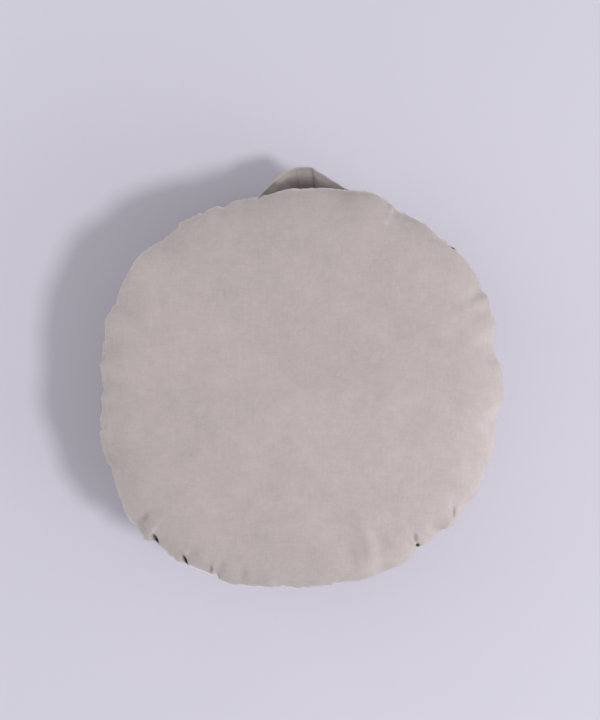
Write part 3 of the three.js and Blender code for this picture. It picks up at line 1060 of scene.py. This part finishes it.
@dataclass(frozen=True)
class StitchRow:
    """Short rounded stitches along a path, made by a geometry node tree."""

    pitch: float = 0.0036
    length: float = 0.0026
    thickness: float = 0.0006
    seed: int = 4

    def tree(self, material: bpy.types.Material) -> bpy.types.NodeTree:
        """The node tree that sets one stitch at each step of the path.

        Args:
            material: The thread's material.

        Returns:
            The tree, with named inputs for the stitch's sizes.
        """
        tree = bpy.data.node_groups.new("stitch_row", "GeometryNodeTree")
        face = tree.interface
        face.new_socket("Path", in_out="INPUT", socket_type="NodeSocketGeometry")
        for name, value in (("Pitch", self.pitch), ("Length", self.length), ("Thickness", self.thickness)):
            face.new_socket(name, in_out="INPUT", socket_type="NodeSocketFloat").default_value = value
        face.new_socket("Stitches", in_out="OUTPUT", socket_type="NodeSocketGeometry")
        make, join = tree.nodes.new, tree.links.new
        inputs, output = make("NodeGroupInput"), make("NodeGroupOutput")
        curve = make("GeometryNodeMeshToCurve")
        resample = make("GeometryNodeResampleCurve")
        resample.mode = "LENGTH"
        tangent = make("GeometryNodeInputTangent")
        turn = make("FunctionNodeAlignRotationToVector")
        turn.axis = "Z"
        stitch = make("GeometryNodeMeshUVSphere")
        stitch.inputs["Segments"].default_value = 6
        stitch.inputs["Rings"].default_value = 6
        stitch.inputs["Radius"].default_value = 0.5
        size = make("ShaderNodeCombineXYZ")
        vary = make("FunctionNodeRandomValue")
        vary.data_type = "FLOAT"
        vary.inputs[2].default_value = 0.9
        vary.inputs[3].default_value = 1.1
        vary.inputs["Seed"].default_value = self.seed
        long = make("ShaderNodeMath")
        long.operation = "MULTIPLY"
        place = make("GeometryNodeInstanceOnPoints")
        realize = make("GeometryNodeRealizeInstances")
        dress = make("GeometryNodeSetMaterial")
        dress.inputs["Material"].default_value = material
        join(inputs.outputs["Path"], curve.inputs["Mesh"])
        join(curve.outputs["Curve"], resample.inputs["Curve"])
        join(inputs.outputs["Pitch"], resample.inputs["Length"])
        join(tangent.outputs["Tangent"], turn.inputs["Vector"])
        join(inputs.outputs["Length"], long.inputs[0])
        join(vary.outputs[1], long.inputs[1])
        join(inputs.outputs["Thickness"], size.inputs["X"])
        join(inputs.outputs["Thickness"], size.inputs["Y"])
        join(long.outputs["Value"], size.inputs["Z"])
        join(resample.outputs["Curve"], place.inputs["Points"])
        join(stitch.outputs["Mesh"], place.inputs["Instance"])
        join(turn.outputs["Rotation"], place.inputs["Rotation"])
        join(size.outputs["Vector"], place.inputs["Scale"])
        join(place.outputs["Instances"], realize.inputs["Geometry"])
        join(realize.outputs["Geometry"], dress.inputs["Geometry"])
        join(dress.outputs["Geometry"], output.inputs["Stitches"])
        return tree

    def build(self, name: str, lines: list[np.ndarray], material: bpy.types.Material) -> bpy.types.Object:
        """Stitches along the lines, as one plain mesh.

        Args:
            name: The piece's name.
            lines: The rows' paths, each a list of points.
            material: The thread's material.

        Returns:
            The stitches' object.
        """
        points = np.concatenate(lines)
        edges = []
        start = 0
        for line in lines:
            edges.extend((start + i, start + i + 1) for i in range(len(line) - 1))
            start += len(line)
        path = bpy.data.meshes.new(name + "_path")
        path.from_pydata(points.tolist(), edges, [])
        rows = shown(name, path)
        modifier = rows.modifiers.new("stitches", "NODES")
        modifier.node_group = self.tree(material)
        sizes = {"Pitch": self.pitch, "Length": self.length, "Thickness": self.thickness}
        for item in modifier.node_group.interface.items_tree:
            if item.in_out == "INPUT" and item.name in sizes:
                modifier[item.identifier] = sizes[item.name]
        graph = bpy.context.evaluated_depsgraph_get()
        result = rows.evaluated_get(graph)
        mesh = bpy.data.meshes.new_from_object(result, preserve_all_data_layers=True, depsgraph=graph)
        rows.modifiers.clear()
        rows.data = mesh
        mesh.name = name
        mesh.polygons.foreach_set("use_smooth", np.ones(len(mesh.polygons), dtype=bool))
        return rows


class Board:
    """A material's node tree with short calls to add and join its nodes."""

    def __init__(self, name: str) -> None:
        """Starts an empty material.

        Args:
            name: The material's name.
        """
        self.material = bpy.data.materials.new(name)
        self.material.use_nodes = True
        self.tree = self.material.node_tree
        self.shader = self.tree.nodes["Principled BSDF"]

    def node(self, kind: str, **settings: object) -> bpy.types.Node:
        """A new node.

        Args:
            kind: The node's type name.
            **settings: Properties to set on it.

        Returns:
            The node.
        """
        node = self.tree.nodes.new(kind)
        for key, value in settings.items():
            setattr(node, key, value)
        return node

    def join(self, start: bpy.types.NodeSocket, end: bpy.types.NodeSocket) -> None:
        """Joins two sockets."""
        self.tree.links.new(start, end)

    def math(self, kind: str, first: object, second: object) -> bpy.types.NodeSocket:
        """The result of a sum on two sockets or numbers.

        Args:
            kind: The operation.
            first: A socket or a number.
            second: A socket or a number.

        Returns:
            The result's socket.
        """
        node = self.node("ShaderNodeMath", operation=kind)
        for slot, value in zip(node.inputs, (first, second)):
            if isinstance(value, bpy.types.NodeSocket):
                self.join(value, slot)
            else:
                slot.default_value = value
        return node.outputs[0]

    def tinted(self, colour: tuple[float, float, float], tone: bpy.types.NodeSocket) -> None:
        """Gives the material a colour that a tone makes lighter or darker from place to place.

        Args:
            colour: The base colour.
            tone: The socket of the tone, around 1.
        """
        mix = self.node("ShaderNodeMix", data_type="RGBA", blend_type="MULTIPLY")
        mix.inputs["Factor"].default_value = 1.0
        mix.inputs["A"].default_value = (*colour, 1.0)
        self.join(tone, mix.inputs["B"])
        self.join(mix.outputs["Result"], self.shader.inputs["Base Color"])

    def roughened(self, roughness: float, value: bpy.types.NodeSocket) -> None:
        """Gives the material a roughness that a noise changes a little from place to place.

        Args:
            roughness: The mean roughness.
            value: The noise's socket, around 0.5.
        """
        spread = 0.1
        rough = self.math("ADD", roughness - spread / 2, self.math("MULTIPLY", value, spread))
        self.join(rough, self.shader.inputs["Roughness"])

    def around(self, value: bpy.types.NodeSocket, strength: float) -> bpy.types.NodeSocket:
        """A noise as a change of tone around 0."""
        return self.math("MULTIPLY", self.math("SUBTRACT", value, 0.5), strength)

    def noise(
        self,
        place: bpy.types.NodeSocket,
        scale: tuple[float, float, float],
        detail: float,
        fineness: float = 0.5,
    ) -> bpy.types.NodeSocket:
        """Noise that is stretched by its scale along each axis.

        Args:
            place: The socket that gives the place, in metres.
            scale: Features for each metre along x, y and z.
            detail: How many times finer noise is laid over the first.
            fineness: How strong each finer layer is beside the one before.

        Returns:
            The noise's socket, around 0.5.
        """
        mapping = self.node("ShaderNodeMapping")
        mapping.inputs["Scale"].default_value = scale
        noise = self.node("ShaderNodeTexNoise")
        noise.inputs["Scale"].default_value = 1.0
        noise.inputs["Detail"].default_value = detail
        noise.inputs["Roughness"].default_value = fineness
        self.join(place, mapping.inputs["Vector"])
        self.join(mapping.outputs["Vector"], noise.inputs["Vector"])
        return noise.outputs["Fac"]


@dataclass(frozen=True)
class Velvet:
    """Short velvet pile: soft blotches where it is brushed, a faint cross grain, bloom at the edges, and
    painted shade in its creases.
    """

    name: str
    colour: tuple[float, float, float]
    bloom: tuple[float, float, float, float] = (0.94, 0.93, 0.91, 1.0)
    sheen: float = 0.9
    sheen_roughness: float = 0.36
    roughness: float = 0.92
    blotch: float = 0.66
    grain: float = 0.22
    pile: float = 0.10
    painted_crease_shade: float = 0.30
    specular: float = 0.2
    bump: float = 0.35
    bump_depth: float = 0.0005
    grain_height: float = 1.4

    def material(self) -> bpy.types.Material:
        """The velvet's material, which reads the piece's cloth map and its crease attribute, which darkens it
        with painted shade.

        Returns:
            The material.
        """
        board = Board(self.name)
        place = board.node("ShaderNodeUVMap", uv_map=CLOTH_UV).outputs["UV"]
        crease = board.node("ShaderNodeAttribute", attribute_name=CREASE_SHADE_ATTRIBUTE).outputs["Fac"]
        blotch = board.noise(place, scale=(5.0, 5.0, 1.0), detail=7.0, fineness=0.93)
        warp = board.noise(place, scale=(300.0, 40.0, 1.0), detail=3.0)
        weft = board.noise(place, scale=(34.0, 280.0, 1.0), detail=3.0)
        grain = board.math("MULTIPLY", board.math("ADD", warp, weft), 0.5)
        pile = board.noise(place, scale=(1500.0, 1500.0, 1.0), detail=1.0)
        tone = board.math("ADD", 1.0, board.around(blotch, self.blotch))
        tone = board.math("ADD", tone, board.around(grain, self.grain))
        tone = board.math("ADD", tone, board.around(pile, self.pile))
        # painted shade: the crease attribute darkens the velvet in seams, pits, ripple troughs and the
        # strap's folds and stitch rows
        tone = board.math("SUBTRACT", tone, board.math("MULTIPLY", crease, self.painted_crease_shade))
        board.tinted(self.colour, tone)
        board.roughened(self.roughness, blotch)
        board.shader.inputs["Specular IOR Level"].default_value = self.specular
        board.shader.inputs["Sheen Weight"].default_value = self.sheen
        board.shader.inputs["Sheen Roughness"].default_value = self.sheen_roughness
        board.shader.inputs["Sheen Tint"].default_value = self.bloom
        bump = board.node("ShaderNodeBump")
        bump.inputs["Strength"].default_value = self.bump
        bump.inputs["Distance"].default_value = self.bump_depth
        height = board.math("ADD", pile, board.math("MULTIPLY", grain, self.grain_height))
        board.join(height, bump.inputs["Height"])
        board.join(bump.outputs["Normal"], board.shader.inputs["Normal"])
        return board.material


@dataclass(frozen=True)
class Thread:
    """Spun sewing thread, a little lighter than the velvet."""

    name: str = "sewing_thread"
    colour: tuple[float, float, float] = (0.50, 0.44, 0.42)
    darkest: float = 0.85
    contrast: float = 0.3
    roughness: float = 0.7

    def material(self) -> bpy.types.Material:
        """The thread's material, with its twist as a fine mottle.

        Returns:
            The material.
        """
        board = Board(self.name)
        place = board.node("ShaderNodeTexCoord").outputs["Object"]
        twist = board.noise(place, scale=(2600.0, 2600.0, 1400.0), detail=1.0)
        tone = board.math("ADD", self.darkest, board.math("MULTIPLY", twist, self.contrast))
        board.tinted(self.colour, tone)
        board.roughened(self.roughness, twist)
        return board.material


@dataclass(frozen=True)
class Paper:
    """The pale lilac paper that the pouf lies on."""

    name: str = "studio_paper"
    colour: tuple[float, float, float] = (0.607, 0.586, 0.675)
    darkest: float = 0.985
    contrast: float = 0.03
    roughness: float = 0.95
    specular: float = 0.1

    def material(self) -> bpy.types.Material:
        """The paper's material, with a very faint mottle.

        Returns:
            The material.
        """
        board = Board(self.name)
        place = board.node("ShaderNodeTexCoord").outputs["Object"]
        mottle = board.noise(place, scale=(3.0, 3.0, 3.0), detail=2.0)
        tone = board.math("ADD", self.darkest, board.math("MULTIPLY", mottle, self.contrast))
        board.tinted(self.colour, tone)
        board.shader.inputs["Roughness"].default_value = self.roughness
        board.shader.inputs["Specular IOR Level"].default_value = self.specular
        return board.material


@dataclass(frozen=True)
class Softbox:
    """A soft white lamp: the way to it round from +X and up in degrees, its power, distance and size."""

    name: str
    azimuth: float
    elevation: float
    power: float
    distance: float = 3.2
    size: float = 1.6

    def build(self) -> None:
        """Adds the lamp, turned to the pouf."""
        data = bpy.data.lights.new(self.name, "AREA")
        data.shape = "DISK"
        data.size = self.size
        data.energy = self.power
        lamp = bpy.data.objects.new(self.name, data)
        azimuth, elevation = math.radians(self.azimuth), math.radians(self.elevation)
        level = math.cos(elevation)
        way = Vector((math.cos(azimuth) * level, math.sin(azimuth) * level, math.sin(elevation)))
        lamp.location = way * self.distance
        lamp.rotation_euler = way.to_track_quat("Z", "Y").to_euler()
        bpy.context.scene.collection.objects.link(lamp)


@dataclass
class Studio:
    """The floor, the soft light and the camera straight above the pouf."""

    floor_side: float = 30.0
    floor_drop: float = 0.0004
    camera_height: float = 2.376
    camera_place: tuple[float, float] = (0.0018, 0.0412)
    lens: float = 74.7
    sky: tuple[float, float, float] = (1.0, 1.0, 1.0)
    sky_strength: float = 0.52
    lamps: tuple[Softbox, ...] = (
        Softbox("key", -22.0, 57.5, 335.0, distance=9.0, size=1.45),
        Softbox("low_key", 330.0, 30.0, 18.6),
        Softbox("right_fill", 0.0, 12.0, 21.0),
        Softbox("left_fill", 175.0, 14.0, 14.0),
        Softbox("back_fill", 150.0, 14.0, 20.0),
        Softbox("front_fill", 285.0, 14.0, 5.0),
    )

    def build(self) -> None:
        """Adds the floor, the lamps, the sky and the camera."""
        half = self.floor_side / 2
        mesh = bpy.data.meshes.new("floor")
        corners = [(-half, -half), (half, -half), (half, half), (-half, half)]
        mesh.from_pydata([(x, y, -self.floor_drop) for x, y in corners], [], [(0, 1, 2, 3)])
        mesh.materials.append(Paper().material())
        floor = shown("floor", mesh)
        for lamp in self.lamps:
            lamp.build()
        world = bpy.data.worlds.new("sky")
        world.use_nodes = True
        world.node_tree.nodes["Background"].inputs["Color"].default_value = (*self.sky, 1.0)
        world.node_tree.nodes["Background"].inputs["Strength"].default_value = self.sky_strength
        bpy.context.scene.world = world
        bpy.context.scene.view_settings.view_transform = "Standard"
        self.add_camera()

    def add_camera(self) -> None:
        """Adds the camera, looking straight down with +Y up in the picture."""
        data = bpy.data.cameras.new("camera")
        data.lens = self.lens
        data.sensor_width = 36.0
        data.clip_start = 0.01
        data.clip_end = 50.0
        camera = bpy.data.objects.new("camera", data)
        camera.location = (*self.camera_place, self.camera_height)
        bpy.context.scene.collection.objects.link(camera)
        bpy.context.scene.camera = camera


TOP_LOBES = [
    Lobe(11.5, -0.0058, 4.5),
    Lobe(25.5, 0.0040, 1.8),
    Lobe(34, 0.0090, 13),
    Lobe(53, 0.0034, 5),
    Lobe(70, 0.0042, 8),
    Lobe(88, -0.0050, 7),
    Lobe(104, -0.0112, 14),
    Lobe(112, -0.0030, 1.8),
    Lobe(116, -0.0030, 7),
    Lobe(125, 0.0012, 1.6),
    Lobe(130, -0.0030, 5),
    Lobe(145, 0.0024, 6.5),
    Lobe(156, -0.0006, 3),
    Lobe(164.5, -0.0032, 2.8),
    Lobe(179, -0.0112, 12),
    Lobe(186, -0.0022, 1.8),
    Lobe(200, 0.0030, 5),
    Lobe(218, 0.0122, 9),
    Lobe(223, 0.0050, 1.6),
    Lobe(229.5, -0.0036, 2.4),
    Lobe(233, 0.0095, 9),
    Lobe(246.3, -0.0030, 1.3),
    Lobe(249, 0.0052, 4.5),
    Lobe(265.5, -0.0028, 2.4),
    Lobe(272, -0.0068, 13),
    Lobe(285, -0.0022, 8),
    Lobe(306.3, -0.0030, 1.3),
    Lobe(309, -0.0040, 5),
    Lobe(318.5, 0.0034, 2.5),
    Lobe(329.5, 0.0034, 4),
    Lobe(350.5, -0.0042, 5),
]
BASE_LOBES = [
    Lobe(20, 0.004, 22),
    Lobe(95, -0.005, 24),
    Lobe(160, 0.005, 20),
    Lobe(228, -0.004, 18),
    Lobe(300, 0.003, 25),
]
TOP_GATHERS = [
    Gather(10, 0.0030, 0.0050, 0.018, 0.0012, 1),
    Gather(16, 0.0020, 0.0045, 0.022, 0.0012, 1),
    Gather(42.8, 0.0040, 0.0035, 0.006, 0.0022, -1),
    Gather(51, 0.0016, 0.0040, 0.010, 0.0010, 1),
    Gather(61, 0.0022, 0.0050, 0.012, 0.0010, 1),
    Gather(102, 0.0030, 0.0050, 0.012, 0.0012, -1),
    Gather(118.5, 0.0020, 0.0040, 0.014, 0.0014, 1),
    Gather(127.5, 0.0022, 0.0045, 0.012, 0.0018, -1),
    Gather(155, 0.0016, 0.0040, 0.012, 0.0012, 1),
    Gather(166, 0.0014, 0.0045, 0.012, 0.0010, 1),
    Gather(172, 0.0018, 0.0045, 0.014, 0.0016, 1),
    Gather(180, 0.0018, 0.0050, 0.012, 0.0010, -1),
    Gather(191.5, 0.0028, 0.0045, 0.014, 0.0026, 1),
    Gather(203, 0.0024, 0.0045, 0.012, 0.0012, -1),
    Gather(213, 0.0014, 0.0050, 0.014, 0.0010, 1),
    Gather(227.3, 0.0010, 0.0058, 0.022, 0.0062, -1),
    Gather(236.8, 0.0020, 0.0042, 0.022, 0.0026, -1),
    Gather(246.0, 0.0085, 0.0032, 0.014, 0.0020, 1),
    Gather(253.5, 0.0020, 0.0070, 0.022, 0.0010, 1),
    Gather(281, 0.0024, 0.0045, 0.012, 0.0012, -1),
    Gather(290, 0.0016, 0.0045, 0.012, 0.0010, 1),
    Gather(306.4, 0.0085, 0.0032, 0.012, 0.0020, -1),
    Gather(315, 0.0020, 0.0045, 0.016, 0.0020, 1),
    Gather(323, 0.0022, 0.0040, 0.012, 0.0010, -1),
    Gather(337, 0.0016, 0.0040, 0.012, 0.0010, 1),
    Gather(341.5, 0.0030, 0.0040, 0.014, 0.0010, -1),
    Gather(350.5, 0.0032, 0.0045, 0.012, 0.0012, -1),
]
TOP_PITS = [
    Pit((226.3, 0.3030), 0.0085, 0.0030, 0.016, -18),
    Pit((236.4, 0.3005), 0.0098, 0.0025, 0.015, -36),
    Pit((244.0, 0.2925), 0.0075, 0.0036, 0.0036, -64),
    Pit((307.2, 0.2872), 0.0034, 0.0030, 0.012, 0),
    Pit((42.6, 0.3045), 0.0055, 0.0018, 0.008, 8),
    Pit((307.9, 0.2745), 0.0085, 0.0036, 0.0026, 52),
    Pit((321.3, 0.2890), 0.0110, 0.0021, 0.0030, 39),
    Pit((171.9, 0.2880), 0.0105, 0.0022, 0.0014, -16),
    Pit((191.3, 0.2872), 0.0065, 0.0022, 0.0014, -40),
]
BASE_GATHERS = [
    Gather(24, 0.005, 0.007, 0.018, 0.002, 1),
    Gather(66, 0.004, 0.007, 0.016, 0.0015, -1),
    Gather(101, 0.006, 0.007, 0.020, 0.0025, 1),
    Gather(139, 0.0045, 0.007, 0.018, 0.0015, -1),
    Gather(178, 0.0065, 0.007, 0.020, 0.0025, 1),
    Gather(214, 0.004, 0.007, 0.016, 0.0015, 1),
    Gather(249, 0.006, 0.007, 0.020, 0.002, -1),
    Gather(288, 0.0045, 0.007, 0.016, 0.0015, 1),
    Gather(331, 0.0055, 0.007, 0.018, 0.002, -1),
]
TOP_FOLDS = [
    Fold((296, 0.205), (293, 0.285), 0.0030, 0.010),
    Fold((298.2, 0.232), (300.4, 0.278), -0.0017, 0.010),
    Fold((289, 0.225), (286.5, 0.290), -0.0016, 0.011),
    Fold((306, 0.240), (306.5, 0.280), 0.0026, 0.008),
    Fold((306.3, 0.270), (306.6, 0.284), 0.0016, 0.0032),
    Fold((319.6, 0.2945), (314.6, 0.2941), 0.0032, 0.0028),
    Fold((223.6, 0.2850), (224.6, 0.3130), 0.0042, 0.0046),
    Fold((219.6, 0.2800), (220.4, 0.3060), -0.0034, 0.0050),
    Fold((235.3, 0.2820), (235.0, 0.3000), 0.0028, 0.0045),
    Fold((240.0, 0.2700), (240.5, 0.2960), 0.0016, 0.0070),
    Fold((244.0, 0.2985), (245.6, 0.2975), 0.0028, 0.0022),
    Fold((253.4, 0.2700), (253.4, 0.2920), -0.0020, 0.0070),
]
STRAP_ROUTE = [
    StrapPoint(-0.0732, 0.2640, 0.000, 10, 32),
    StrapPoint(-0.0461, 0.2873, -0.005, 24, 46),
    StrapPoint(-0.0301, 0.3002, -0.011, 30, 44),
    StrapPoint(-0.0176, 0.3122, -0.020, 37, 36),
    StrapPoint(-0.0125, 0.3139, -0.024, 40, 20),
    StrapPoint(0.0002, 0.3177, -0.028, 42, 5),
    StrapPoint(0.0219, 0.3187, -0.028, 43, 13),
    StrapPoint(0.0246, 0.3187, -0.028, 43, 14),
    StrapPoint(0.0264, 0.3169, -0.027, 41, 11),
    StrapPoint(0.0322, 0.3102, -0.021, 33, -12),
    StrapPoint(0.0452, 0.3029, -0.017, 26, -27),
    StrapPoint(0.0661, 0.2930, -0.010, 18, -31),
    StrapPoint(0.0910, 0.2757, -0.002, 10, -28),
    StrapPoint(0.1100, 0.2565, 0.000, 4, -27),
]


def dress(piece: bpy.types.Object, node: str, slot: str, material: bpy.types.Material) -> None:
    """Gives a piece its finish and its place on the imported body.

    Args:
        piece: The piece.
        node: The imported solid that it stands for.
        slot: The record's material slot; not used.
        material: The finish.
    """
    piece.data.materials.append(material)
    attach(piece, BODY)
    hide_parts(node)
    LOG.info("%s: %d faces", piece.name, len(piece.data.polygons))


def main() -> None:
    """Builds the pouf and its studio."""
    logging.basicConfig(level=logging.INFO, format="%(message)s")
    Studio().build()
    velvet = Velvet("greige_velvet", VELVET_COLOUR).material()
    strap_velvet = Velvet("strap_velvet", VELVET_COLOUR).material()
    shells = [
        Shell(
            "top_shell_cover", "top_shell", Facing.UP, rim_level=0.032, crown_power=2.5,
            crown_rise=0.0637, lobes=TOP_LOBES, gathers=TOP_GATHERS, folds=TOP_FOLDS, pits=TOP_PITS, seed=11,
        ),
        Shell(
            "bottom_shell_cover", "bottom_shell", Facing.DOWN, rim_level=0.041, crown_power=3.0,
            crown_rise=0.0635, lobes=BASE_LOBES, gathers=BASE_GATHERS, seed=23,
        ),
    ]
    for shell in shells:
        cover = shell.build()
        dress(cover, shell.node, "velvet", velvet)
    band = WaistBand()
    band_cover = band.build()
    dress(band_cover, band.node, "velvet", velvet)
    handle = CarryHandle(STRAP_ROUTE)
    strap = handle.build()
    dress(strap, handle.node, "velvet_strap", strap_velvet)
    stitches = StitchRow().build("strap_stitches", handle.stitch_lines(), Thread().material())
    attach(stitches, BODY)
    handle.length()
    LOG.info("strap_stitches: %d faces", len(stitches.data.polygons))


if __name__ == "__main__":
    main()
